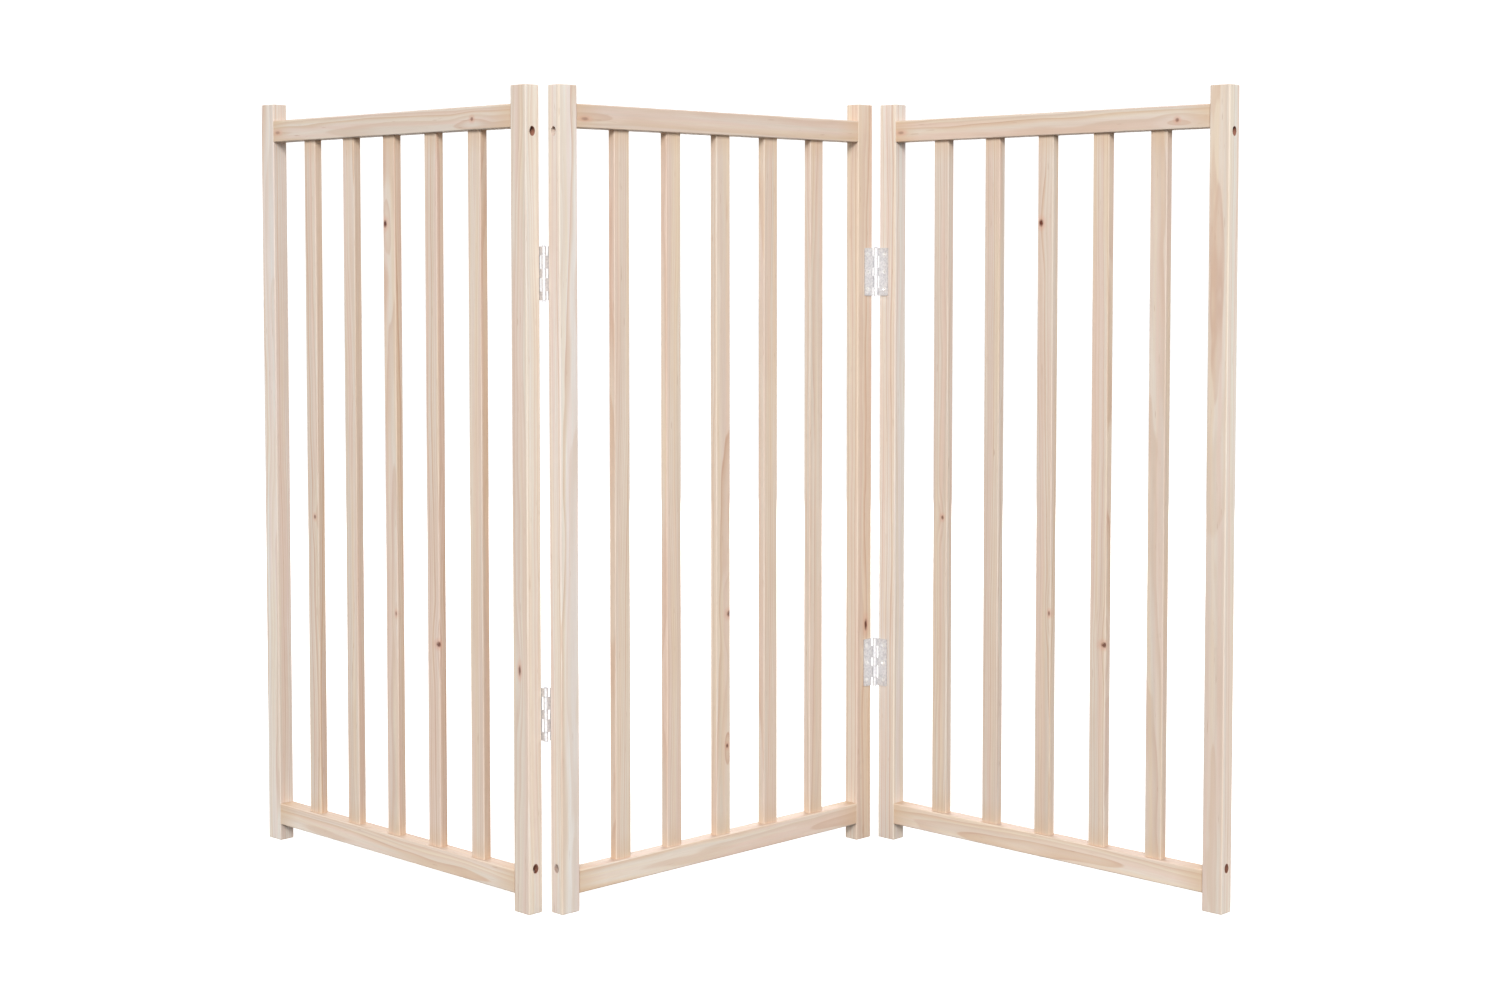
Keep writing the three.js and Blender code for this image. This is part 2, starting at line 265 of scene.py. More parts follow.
def section(width, depth, radius, inset):
    """A rounded rectangle, anticlockwise, with one more point on each side of every corner."""
    w = width / 2 - inset
    d = depth / 2 - inset
    r = max(radius - inset * 0.3, 0.2 * MM)
    points = []
    for sx, sy, start in CORNERS:
        centre = Vector((sx * (w - r), sy * (d - r)))
        before, after = heading_vector(start), heading_vector(start + 90)
        points.append(centre + r * before - CORNER_MARGIN * after)
        for i in range(CORNER_STEPS + 1):
            points.append(centre + r * heading_vector(start + 90 * i / CORNER_STEPS))
        points.append(centre + r * after - CORNER_MARGIN * before)
    return points


def bar(name, width, depth, length, radius, rounding, rng):
    """A planed and sanded bar along Z. Its edges were eased by hand, so their radius drifts a little."""
    phases = [rng.uniform(0, 6.28) for _ in DRIFT_WAVES]
    end = []
    for i in range(END_STEPS if rounding else 0):
        t = math.radians(90 * i / END_STEPS)
        end.append((rounding * (1 - math.sin(t)), rounding * (1 - math.cos(t))))
    steps = max(int(length / BODY_STEP), 2)
    body = [(0, rounding + (length - 2 * rounding) * i / steps) for i in range(steps + 1)]
    far_end = [(inset, length - z) for inset, z in end][::-1]
    loops = []
    for inset, z in end + body + far_end:
        waves = [math.sin(z * wave + phase) for wave, phase in zip(DRIFT_WAVES, phases)]
        easing = radius * (1 + EDGE_DRIFT * sum(waves) / len(waves))
        loops.append([(p.x, p.y, z) for p in section(width, depth, easing, inset)])
    return new_object(name, *loft(loops))


MOUTH_STEPS = 6
MOUTH_CURVE = 1.6
MOUTH_FLARE = 1.2  # the cutter's growth from the post's face to its own top
MOUTH_TOP = 2 * MM
BORE_TOP = 10 * MM
BORE_FLOOR_STEP = 0.01 * MM
OVERRUN = 1 * MM  # the pilot hole's length past the screw's point


def oval(half_x, half_y, z=0.0, sides=48):
    """A ring of points round Z."""
    angles = [2 * math.pi * k / sides for k in range(sides)]
    return [(half_x * math.cos(a), half_y * math.sin(a), z) for a in angles]


def facing(out, at):
    """A frame at a point in the panel: Z runs along `out`, and Y across the panel's depth."""
    across = Vector((0, 1, 0))
    turn = Matrix((across.cross(out), across, out)).transposed().to_4x4()
    return Matrix.Translation(at) @ turn


def hole_mouth(side, level):
    x = 0 if side == "left" else PANEL_WIDTH
    z = BOTTOM_RAIL + RAIL_HEIGHT + HOLE_RISE if level == "bottom" else TOP_RAIL - HOLE_RISE
    return Vector((x, MID_DEPTH, z))


def screw_frame(side, level):
    """A frame screw's axis in the panel: Z runs out of the hole from the middle of its mouth."""
    sign = -1 if side == "left" else 1
    rise = 1 if level == "bottom" else -1
    out = Vector((sign * math.cos(HOLE_SKEW), 0, rise * math.sin(HOLE_SKEW)))
    return facing(out, hole_mouth(side, level))


def screw_cut(side, level):
    """The solid that a frame screw's hole takes out: an eased oval mouth, a counterbore and a pilot."""
    pilot_radius = SCREW_RADIUS + JOINT_GAP
    profile = (
        (pilot_radius, -BORE_DEPTH - SCREW_LENGTH - OVERRUN),
        (pilot_radius, -BORE_DEPTH),
        (BORE_RADIUS, -BORE_DEPTH + BORE_FLOOR_STEP),
        (BORE_RADIUS, BORE_TOP),
    )
    bore = new_object("bore", *loft([oval(radius, radius, z) for radius, z in profile]))
    bore.data.transform(screw_frame(side, level))
    profile = []
    for i in range(MOUTH_STEPS + 1):
        t = i / MOUTH_STEPS
        profile.append((MOUTH_TAPER + (1 - MOUTH_TAPER) * t**MOUTH_CURVE, -MOUTH_DEPTH * (1 - t)))
    profile.append((MOUTH_FLARE, MOUTH_TOP))
    rings = [oval(MOUTH_HALF_HEIGHT * grow, MOUTH_HALF_WIDTH * grow, z) for grow, z in profile]
    mouth = new_object("mouth", *loft(rings))
    out = Vector((-1 if side == "left" else 1, 0, 0))
    mouth.data.transform(facing(out, hole_mouth(side, level)))
    return [bore, mouth]


# ---- What the wood's material reads ------------------------------------------------------------------

PITH_AWAY = (38, 95)  # nearest and furthest, in millimetres
LOG_LENGTH = 40  # in metres, so that every bar has its own stretch of grain
NEAR_EDGE = 0.42  # a knot further than this share of the width from the middle runs into the side
# Painted shade on the screw holes' walls starts this deep under the surface and blends in over the next
# depth.
HOLE_SHADE_DEPTH = 0.02 * MM  # a hole's wall darkens from this depth down
HOLE_SHADE_BLEND = 0.1 * MM
# Painted highlight along the eased edges reaches this far in from an edge.
EDGE_HIGHLIGHT_REACH = 1.9 * MM
FLAT_MARGIN = 1.2 * WOOD_RADIUS
END_GRAIN_DEPTH = 0.6 * END_ROUNDING
KNOT_SLOTS = 2
OUT_OF_REACH = 9.0  # in knot radii


def set_attribute(mesh, name, kind, values):
    layer = mesh.attributes.new(name, kind, "POINT")
    field = "vector" if kind == "FLOAT_VECTOR" else "value"
    layer.data.foreach_set(field, np.asarray(values, dtype=np.float32).ravel())


def knot_axes(across, width):
    """A knot's own axes: the last runs along the branch, into a face or, near a long edge, into a side."""
    if abs(across) > width * NEAR_EDGE:
        out = Vector((math.copysign(1.0, across), -0.25, 0.08)).normalized()
    else:
        out = Vector((0.12, -1.0, 0.1)).normalized()
    side = out.cross(Vector((0, 0, 1))).normalized()
    return np.array([side, side.cross(out), out])


def wooden(ob, size, length, rng, tone, pith=None, lean=0.006, knots=(), hole_shade=1.0):
    """Stores the bar's place in its log, its tone, and where its edges, ends, hole walls and knots are: the
    edges get a painted highlight and the hole walls a painted shade.

    The bar is sawn from a log whose pith lies some way off, and its grain runs a little out of line.
    """
    width, depth = size
    points = np.array([v.co[:] for v in ob.data.vertices])
    angle, away = rng.uniform(0, 2 * math.pi), rng.uniform(*PITH_AWAY) * MM
    if pith is None:
        pith = (math.cos(angle) * away, math.sin(angle) * away)
    slope = (rng.uniform(-lean, lean), rng.uniform(-lean, lean))
    grain = points.copy()
    grain[:, :2] += np.array(pith) + np.outer(points[:, 2], slope)
    grain[:, 2] += rng.uniform(0, LOG_LENGTH)
    set_attribute(ob.data, "grain", "FLOAT_VECTOR", grain)

    tone = [base + drift * rng.uniform(-1, 1) for base, drift in zip(tone, TONE_DRIFT)]
    # The tone's third share darkens only the side faces: partly the wood's own tone, partly painted shade.
    on_side = np.clip((np.abs(points[:, 0]) - width / 2) / WOOD_RADIUS + 1, 0, 1)
    tones = np.tile(tone, (len(points), 1))
    tones[:, 2] *= on_side**2
    set_attribute(ob.data, "tone", "FLOAT_VECTOR", tones)

    corner = np.abs(points[:, :2]) - (np.array([width, depth]) / 2 - WOOD_RADIUS)
    beyond = np.linalg.norm(np.maximum(corner, 0), axis=1) + np.minimum(corner.max(axis=1), 0)
    under_skin = WOOD_RADIUS - beyond
    from_edge = np.maximum(width / 2 - np.abs(points[:, 0]), depth / 2 - np.abs(points[:, 1]))
    set_attribute(ob.data, "edge", "FLOAT", np.clip(1 - from_edge / EDGE_HIGHLIGHT_REACH, 0, 1))
    from_end = np.minimum(points[:, 2], length - points[:, 2])
    on_flat = (np.abs(points[:, 1]) < depth / 2 - FLAT_MARGIN) & (from_end > END_ROUNDING)
    # The strength of the painted shade on hole walls, stored as "inner".
    inner = np.where(on_flat, np.clip((under_skin - HOLE_SHADE_DEPTH) / HOLE_SHADE_BLEND, 0, 1), 0)
    set_attribute(ob.data, "inner", "FLOAT", hole_shade * inner)
    set_attribute(ob.data, "end", "FLOAT", (from_end < END_GRAIN_DEPTH).astype(float))

    darkness = [0.0, 0.0, 0.0]
    for slot in range(KNOT_SLOTS):
        place = np.full_like(points, OUT_OF_REACH)
        if slot < len(knots):
            height, across, radius, stretch, darkness[slot] = knots[slot]
            centre = np.array([across * MM, -depth / 2, height * MM])
            place = (points - centre) @ knot_axes(across * MM, width).T / (radius * MM)
            place[:, 1] /= stretch
        set_attribute(ob.data, f"knot{slot + 1}", "FLOAT_VECTOR", place)
    set_attribute(ob.data, "knot_darkness", "FLOAT_VECTOR", np.tile(darkness, (len(points), 1)))
    return ob


# ---- Materials ---------------------------------------------------------------------------------------


def linear(red, green, blue):
    """A colour in 0 to 255 screen values as the linear one that a shader takes."""
    out = []
    for value in (red, green, blue):
        c = value / 255
        out.append(c / 12.92 if c <= 0.04045 else ((c + 0.055) / 1.055) ** 2.4)
    return (*out, 1.0)


class Nodes:
    """Short calls for building one material's node tree."""

    def __init__(self, name):
        self.material = bpy.data.materials.new(name)
        self.material.use_nodes = True
        self.tree = self.material.node_tree
        self.tree.nodes.clear()
        self.output = self.add("ShaderNodeOutputMaterial")
        self.shader = self.add("ShaderNodeBsdfPrincipled")
        self.link(self.shader.outputs[0], self.output.inputs["Surface"])

    def add(self, kind, **settings):
        node = self.tree.nodes.new(kind)
        for key, value in settings.items():
            setattr(node, key, value)
        return node

    def link(self, source, target):
        self.tree.links.new(source, target)

    def put(self, target, value):
        if isinstance(value, bpy.types.NodeSocket):
            self.link(value, target)
        else:
            target.default_value = value

    def attribute(self, name, output="Fac"):
        return self.add("ShaderNodeAttribute", attribute_name=name).outputs[output]

    def math(self, operation, a, b=0.0, c=0.0, clamp=False):
        node = self.add("ShaderNodeMath", operation=operation, use_clamp=clamp)
        for socket, value in zip(node.inputs, (a, b, c)):
            self.put(socket, value)
        return node.outputs[0]

    def vector(self, operation, a, b=(0, 0, 0), output=0):
        node = self.add("ShaderNodeVectorMath", operation=operation)
        self.put(node.inputs[0], a)
        self.put(node.inputs[1], b)
        return node.outputs[output]

    def split(self, vector):
        node = self.add("ShaderNodeSeparateXYZ")
        self.link(vector, node.inputs[0])
        return node.outputs

    def join(self, x, y, z):
        node = self.add("ShaderNodeCombineXYZ")
        for socket, value in zip(node.inputs, (x, y, z)):
            self.put(socket, value)
        return node.outputs[0]

    def stretched(self, parts, scales):
        """A vector of parts, each times its own scale."""
        return self.join(*(self.math("MULTIPLY", part, scale) for part, scale in zip(parts, scales)))

    def noise(self, vector, scale=1.0, detail=2.0, roughness=0.5, output="Fac"):
        node = self.add("ShaderNodeTexNoise")
        self.link(vector, node.inputs["Vector"])
        node.inputs["Scale"].default_value = scale
        node.inputs["Detail"].default_value = detail
        node.inputs["Roughness"].default_value = roughness
        return node.outputs[output]

    def between(self, value, low, high, to_low=0.0, to_high=1.0, smooth=True):
        node = self.add("ShaderNodeMapRange", interpolation_type="SMOOTHSTEP" if smooth else "LINEAR")
        for socket, item in zip(node.inputs, (value, low, high, to_low, to_high)):
            self.put(socket, item)
        return node.outputs[0]

    def mix(self, factor, a, b, blend="MIX"):
        node = self.add("ShaderNodeMix", data_type="RGBA", blend_type=blend)
        self.put(node.inputs["Factor"], factor)
        self.put(node.inputs[6], a)
        self.put(node.inputs[7], b)
        return node.outputs[2]

    def bump(self, height, strength, distance):
        node = self.add("ShaderNodeBump")
        node.inputs["Strength"].default_value = strength
        node.inputs["Distance"].default_value = distance
        self.link(height, node.inputs["Height"])
        self.link(node.outputs[0], self.shader.inputs["Normal"])


def make_fir():
    """Planed, sanded and unvarnished fir: yearly rings round a pith, fibres, flecks and small knots."""
    n = Nodes("fir")
    tone = n.split(n.attribute("tone", "Vector"))
    x, y, z = n.split(n.attribute("grain", "Vector"))
    darkness = n.split(n.attribute("knot_darkness", "Vector"))

    # Knots: a short spike of darker wood, and the rings bulge round it.
    core, halo, bulge, ring = 0.0, 0.0, 0.0, 0.0
    for slot in range(KNOT_SLOTS):
        place = n.attribute(f"knot{slot + 1}", "Vector")
        wobble = n.noise(place, 1.1, 3.0, 0.6)
        parts = n.split(place)
        reach = n.vector("LENGTH", n.stretched(parts, (1.0, 1.0, 0.3)), output="Value")
        reach = n.math("ADD", reach, n.math("MULTIPLY", n.math("SUBTRACT", wobble, 0.5), 1.1))
        dark = darkness[slot]
        core = n.math("MAXIMUM", core, n.math("MULTIPLY", dark, n.between(reach, 1.15, 0.45)))
        rim = n.math("MULTIPLY", n.between(reach, 0.6, 1.0), n.between(reach, 1.35, 1.0))
        rim = n.math("MULTIPLY", rim, n.math("MULTIPLY", dark, n.between(wobble, 0.35, 0.6)))
        ring = n.math("MAXIMUM", ring, rim)
        halo = n.math("MAXIMUM", halo, n.between(reach, 3.0, 0.8))
        flow = n.vector("LENGTH", n.stretched(parts, (1.0, 0.35, 0.3)), output="Value")
        bulge = n.math("MAXIMUM", bulge, n.between(flow, 6.0, 0.0))

    # The rings. They waver slowly along the bar and their width changes from year to year.
    drift = n.noise(n.stretched((x, y, z), (16.0, 16.0, 2.2)), 1.0, 3.0, 0.55, "Color")
    drift = n.vector("SCALE", n.vector("SUBTRACT", drift, (0.5, 0.5, 0.5)))
    drift.node.inputs["Scale"].default_value = 0.016
    wx, wy, _ = n.split(n.vector("ADD", n.join(x, y, 0.0), drift))
    radius = n.vector("LENGTH", n.join(wx, wy, 0.0), output="Value")
    radius = n.math("SUBTRACT", radius, n.math("MULTIPLY", bulge, 0.0034))
    years = n.math("MULTIPLY", radius, 1 / (3.1 * MM))
    uneven = n.noise(n.join(n.math("MULTIPLY", radius, 95.0), 0.0, 0.0), 1.0, 1.0)
    years = n.math("ADD", years, n.math("MULTIPLY", uneven, 2.4))
    season = n.math("FRACT", years)
    late = n.math("MULTIPLY", n.between(season, 0.2, 0.86), n.between(season, 1.0, 0.9))
    yearly = n.add("ShaderNodeTexWhiteNoise", noise_dimensions="1D")
    n.link(n.math("FLOOR", years), yearly.inputs["W"])
    kind = n.split(yearly.outputs["Color"])
    late = n.math("MULTIPLY", late, n.between(kind[0], 0.0, 1.0, 0.2, 1.0, smooth=False))

    # Broader bands of tint, each a few rings wide, and cloudy patches.
    bands = n.split(n.noise(n.stretched((wx, wy, z), (105.0, 105.0, 1.6)), 1.0, 2.0, 0.5, "Color"))
    warm = n.between(bands[0], 0.42, 0.66)
    rosy = n.between(bands[1], 0.42, 0.64)
    grey = n.between(bands[2], 0.46, 0.68)
    patch = n.noise(n.stretched((x, y, z), (30.0, 30.0, 5.0)), 1.0, 3.0)

    colour = n.mix(n.math("MULTIPLY", warm, 0.7), linear(231, 219, 206), linear(233, 213, 187))
    colour = n.mix(n.math("MULTIPLY", rosy, 0.65), colour, linear(229, 203, 190))
    colour = n.mix(n.math("MULTIPLY", grey, 0.55), colour, linear(217, 205, 193))
    blond = n.between(kind[2], 0.4, 1.0, 0.0, 0.55)
    colour = n.mix(n.math("MULTIPLY", late, blond), colour, linear(224, 195, 160))
    dark = n.mix(kind[1], linear(208, 177, 147), linear(203, 166, 150))
    colour = n.mix(n.math("MULTIPLY", late, 0.58), colour, dark)
    line = n.math("MULTIPLY", n.between(season, 0.74, 0.9), n.between(season, 0.98, 0.92))
    line = n.math("MULTIPLY", line, n.between(kind[2], 0.45, 0.8))
    line = n.math("MULTIPLY", line, n.between(patch, 0.42, 0.6))
    colour = n.mix(n.math("MULTIPLY", line, 0.5), colour, linear(190, 142, 122))
    colour = n.mix(n.between(patch, 0.4, 0.75, 0.0, 0.22), colour, linear(214, 184, 158))

    # Fibres and resin flecks, long and thin along the grain.
    fibre = n.noise(n.stretched((x, y, z), (1300.0, 1300.0, 26.0)), 1.0, 3.0, 0.6)
    colour = n.mix(n.between(fibre, 0.3, 0.75, 0.0, 0.2), colour, linear(206, 178, 150))
    fleck = n.between(n.noise(n.stretched((x, y, z), (520.0, 520.0, 38.0)), 1.0, 1.0), 0.72, 0.8)
    colour = n.mix(n.math("MULTIPLY", fleck, 0.4), colour, linear(176, 132, 98))

    # Each bar has its own tone, and its ends and knots differ from its faces. Its sides carry a partly
    # painted shade, its eased edges a painted highlight and its hole walls a painted shade.
    lift = n.math("ADD", 1.0, n.math("MULTIPLY", tone[0], 0.035))
    less_red = n.math("ADD", 1.0, n.math("MULTIPLY", tone[1], 0.016))
    tint = n.stretched((lift, lift, lift), (1.0, less_red, n.math("MULTIPLY", less_red, less_red)))
    colour = n.mix(1.0, colour, tint, "MULTIPLY")
    # Darker, browner sides: partly the wood's own tone, partly painted shade.
    sides = n.join(*(n.math("MULTIPLY_ADD", tone[2], -share, 1.0) for share in (0.14, 0.2, 0.24)))
    colour = n.mix(1.0, colour, sides, "MULTIPLY")
    end = n.attribute("end")
    colour = n.mix(n.math("MULTIPLY", end, 0.5), colour, linear(210, 178, 142))
    # Painted highlight on the eased edges, lighter in patches.
    highlight_and_wear = n.math("MULTIPLY", n.attribute("edge"), n.between(patch, 0.35, 0.65, 0.1, 0.45))
    colour = n.mix(highlight_and_wear, colour, linear(240, 227, 212))
    # Painted shade in the screw holes: their walls are painted a dark red-brown where the recess shades
    # them.
    inner = n.attribute("inner")
    colour = n.mix(n.math("MULTIPLY", inner, 0.9), colour, linear(132, 74, 50))
    colour = n.mix(n.math("MULTIPLY", halo, 0.5), colour, linear(208, 158, 134))
    colour = n.mix(n.math("MULTIPLY", ring, 0.45), colour, linear(150, 100, 78))
    heart = n.mix(n.between(wobble, 0.35, 0.65), linear(108, 50, 31), linear(62, 28, 18))
    colour = n.mix(core, colour, heart)
    n.link(colour, n.shader.inputs["Base Color"])

    rough = n.math("ADD", n.between(fibre, 0.2, 0.8, 0.52, 0.68), n.math("MULTIPLY", end, 0.15))
    rough = n.math("SUBTRACT", rough, n.math("MULTIPLY", core, 0.18))
    n.link(rough, n.shader.inputs["Roughness"])
    n.shader.inputs["Specular IOR Level"].default_value = 0.3
    height = n.math("ADD", n.math("MULTIPLY", fibre, 0.5), n.math("MULTIPLY", late, 0.5))
    height = n.math("SUBTRACT", height, n.math("MULTIPLY", core, 0.5))
    n.bump(height, 0.35, 0.00025)
    return n.material


SCRATCH_STRETCH = 22


def make_metal(name, colour, dull, rough, scratches, along):
    """Bright zinc plating: a faint cloudy spangle, fine scratches along one axis, and duller worn spots."""
    n = Nodes(name)
    at = n.add("ShaderNodeTexCoord").outputs["Object"]
    cloud = n.noise(at, 420.0, 3.0, 0.55)
    scales = [scratches] * 3
    scales[along] = scratches / SCRATCH_STRETCH
    lines = n.noise(n.stretched(n.split(at), scales), 1.0, 3.0, 0.65)
    # Duller worn spots of the plating, the metal's own colour.
    highlight_and_wear = n.between(cloud, 0.35, 0.7, 0.0, 0.7)
    n.link(n.mix(highlight_and_wear, linear(*colour), linear(*dull)), n.shader.inputs["Base Color"])
    spots = n.between(cloud, 0.3, 0.75, rough, rough + 0.12)
    n.link(n.math("ADD", spots, n.math("MULTIPLY", lines, 0.1)), n.shader.inputs["Roughness"])
    n.shader.inputs["Metallic"].default_value = 1.0
    n.bump(n.math("ADD", n.math("MULTIPLY", lines, 0.7), n.math("MULTIPLY", cloud, 0.5)), 0.25, 0.00008)
    return n.material


FIR = make_fir()
ZINC = make_metal("zinc_plate", (219, 218, 218), (192, 191, 195), 0.52, 2600.0, 2)
PIN_METAL = make_metal("zinc_pin", (216, 216, 219), (190, 191, 196), 0.4, 3200.0, 2)
SCREW_METAL = make_metal("zinc_screw", (232, 231, 229), (204, 203, 203), 0.32, 4200.0, 0)


ROUND_SHARP = 30  # the same for metal, in degrees


def finish_piece(ob, material, body, node, place, angle=ROUND_SHARP):
    """Puts a piece in its place, with its shading, material and body, and hides its CAD node if it has one.
    """
    ob.data.transform(place)
    if place.determinant() < 0:
        ob.data.flip_normals()
    shaded(ob, angle)
    ob.data.materials.clear()
    ob.data.materials.append(material)
    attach(ob, body)
    if node:
        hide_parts(node)


# ---- Panels ------------------------------------------------------------------------------------------

# Knots on the front faces: place along the bar, place across it and radius, in millimetres, then the
# stretch along the grain, and the darkness, from 0, a swirl of grain, to 1, a dark knot.
SLAT_KNOTS = {
    ("left", 1): [(371, 4, 2.0, 1.3, 0.75)],
    ("left", 3): [(724, -7, 3.1, 1.4, 1.0), (270, 8, 1.5, 1.8, 0.6)],
    ("left", 4): [(243, 10.6, 2.0, 1.6, 0.9)],
    ("middle", 3): [(268, 9.6, 1.5, 2.4, 0.8), (112, 6, 1.9, 1.4, 0.9)],
    ("right", 1): [(370, 4, 2.0, 1.3, 0.75)],
    ("right", 3): [(725, -6, 3.1, 1.4, 1.0), (270, 9, 1.5, 2.0, 0.7)],
    ("right", 4): [(242, 10.6, 2.0, 1.6, 0.9)],
}
RAIL_KNOTS = {
    ("left", "top"): [(383, 1, 2.3, 1.1, 0.65), (9, 2, 1.9, 2.6, 0.4)],
    ("right", "top"): [(407, 3, 2.3, 1.1, 0.65), (8, 2, 1.9, 2.6, 0.4)],
    ("middle", "top"): [(11, 3, 1.9, 2.8, 0.4)],
}
POST_KNOTS = {
    ("left", "right"): [(270, -1.3, 2.0, 3.0, 0.8)],
    ("middle", "right"): [(268, 2.8, 2.4, 3.0, 0.95)],
}
# Holes whose painted shade is lighter, as their walls face the light.
LIGHTER_SHADED_HOLES = {("middle", "left")}
LIGHTER_HOLE_SHADE = 0.35

# A bar's tone: how light it is, how much less red, and how much darker and browner its sides are than its
# front and rear (a rail's sides are its top and bottom).
# The sides' share is partly the wood's own tone and partly painted shade; a negative value paints them
# lighter. Each bar drifts a little from the tone given here.
TONE_DRIFT = (0.3, 0.3, 0.1)
POST_TONES = {
    ("left", "left"): (0.5, 5.0, 0.7),
    ("left", "right"): (-2.5, 0.2, -0.8),
    ("middle", "left"): (0.6, 5.0, 0.2),
    ("middle", "right"): (-2.2, -2.5, -0.5),
    ("right", "left"): (-1.0, 4.0, 0.1),
    ("right", "right"): (-2.9, 0.3, -1.3),
}
RAIL_TONES = {"top": (-3.0, 0.0, 0.0), "bottom": (0.3, 0.0, 0.9)}
SLAT_TONES = {"left": (-2.0, 0.0, 1.0), "middle": (-1.7, -1.0, 0.0), "right": (-3.0, 0.0, 0.25)}
# Painted shade on the side of a slat next to a post, which shades it.
SLAT_SIDE_SHADE = {("left", 5): 0.45, ("middle", 1): 0.6, ("middle", 2): 0.2}  # added to a slat's tone

# How far the grain runs out of line, where a rail's pith lies (above and behind it, in millimetres), and
# the gap to see round a slat's end.
RAIL_LEAN = 0.016
SLAT_LEAN = 0.012
RAIL_PITH = ((-9, 9), (24, 40))
MORTISE_GAP = 0.15 * MM


def make_post(panel, side, rng):
    """A post with its two screw holes."""
    node = f"{panel}_panel_{side}_post"
    ob = bar(node + "_wood", POST_WIDTH, PANEL_DEPTH, PANEL_HEIGHT, WOOD_RADIUS, END_ROUNDING, rng)
    x = POST_WIDTH / 2 if side == "left" else PANEL_WIDTH - POST_WIDTH / 2
    place = Matrix.Translation((x, MID_DEPTH, 0))
    cuts = screw_cut(side, "top") + screw_cut(side, "bottom")
    for cut in cuts:
        cut.data.transform(place.inverted())
    combine(ob, cuts)
    # A lighter painted shade in the holes that face the light.
    tint = LIGHTER_HOLE_SHADE if (panel, side) in LIGHTER_SHADED_HOLES else 1.0
    knots = POST_KNOTS.get((panel, side), ())
    tone = POST_TONES[panel, side]
    wooden(ob, (POST_WIDTH, PANEL_DEPTH), PANEL_HEIGHT, rng, tone, knots=knots, hole_shade=tint)
    finish_piece(ob, FIR, panel + "_panel", node, PANELS[panel] @ place, WOOD_SHARP)


def slat_middles():
    first = PANEL_WIDTH / 2 - SLAT_PITCH * (SLAT_COUNT - 1) / 2
    return [first + SLAT_PITCH * i for i in range(SLAT_COUNT)]


def make_rail(panel, level, rng):
    """A rail with its mortises, and with a pilot hole in each end."""
    node = f"{panel}_panel_{level}_rail"
    ob = bar(node + "_wood", RAIL_HEIGHT, PANEL_DEPTH, RAIL_LENGTH, WOOD_RADIUS, 0, rng)
    z = (BOTTOM_RAIL if level == "bottom" else TOP_RAIL) + RAIL_HEIGHT / 2
    left_end = Matrix.Translation((POST_WIDTH + JOINT_GAP, MID_DEPTH, z))
    place = left_end @ Matrix.Rotation(math.radians(90), 4, "Y")
    cuts = []
    for x in slat_middles():
        size = [extent + 2 * MORTISE_GAP for extent in (SLAT_WIDTH, SLAT_DEPTH, SLAT_LENGTH)]
        cut = bar("mortise", *size, SLAT_RADIUS + MORTISE_GAP, 0, random.Random(1))
        cut.data.transform(Matrix.Translation((x, MID_DEPTH, SLAT_BOTTOM - MORTISE_GAP)))
        cuts.append(cut)
    for side in ("left", "right"):
        cuts += screw_cut(side, level)
    for cut in cuts:
        cut.data.transform(place.inverted())
    combine(ob, cuts)
    pith = [rng.uniform(*span) * MM for span in RAIL_PITH]
    knots = RAIL_KNOTS.get((panel, level), ())
    wooden(ob, (RAIL_HEIGHT, PANEL_DEPTH), RAIL_LENGTH, rng, RAIL_TONES[level], pith, RAIL_LEAN, knots)
    finish_piece(ob, FIR, panel + "_panel", node, PANELS[panel] @ place, WOOD_SHARP)


def make_slat(panel, number, x, rng):
    node = f"{panel}_panel_slat_{number}"
    ob = bar(node + "_wood", SLAT_WIDTH, SLAT_DEPTH, SLAT_LENGTH, SLAT_RADIUS, 0, rng)
    knots = SLAT_KNOTS.get((panel, number), ())
    light, less_red, sides = SLAT_TONES[panel]
    tone = (light, less_red, sides + SLAT_SIDE_SHADE.get((panel, number), 0.0))
    wooden(ob, (SLAT_WIDTH, SLAT_DEPTH), SLAT_LENGTH, rng, tone, lean=SLAT_LEAN, knots=knots)
    place = Matrix.Translation((x, MID_DEPTH, SLAT_BOTTOM))
    finish_piece(ob, FIR, panel + "_panel", node, PANELS[panel] @ place, WOOD_SHARP)


# ---- Screws ------------------------------------------------------------------------------------------

RECESS_OVERRUN = 0.4 * MM
THREAD_ROWS = 6  # rows of points in one turn of the thread
THREAD_SHARPNESS = 4.5
PLAIN_TURNS = 3  # the thread fades out over this many turns below the head
BLUNT_TIP = 0.06  # the point's own share of the shank's radius


def cross_recess(radius, depth, width, top):
    """The cutter for a cross drive: two tapered blades, wide at the head's face."""
    profile = (
        (0.3, 0.55, -depth),
        (0.75, 0.85, -0.45 * depth),
        (1.0, 1.0, 0.0),
        (1.05, 1.05, RECESS_OVERRUN),
    )
    blades = []
    for turn in (0, 90):
        rings = []
        for reach, thick, z in profile:
            u = radius * reach
            v = width / 2 * thick
            rings.append([(-u, -v, top + z), (u, -v, top + z), (u, v, top + z), (-u, v, top + z)])
        blade = new_object("blade", *loft(rings), smooth=False)
        blade.data.transform(Matrix.Rotation(math.radians(turn), 4, "Z"))
        blades.append(blade)
    return blades


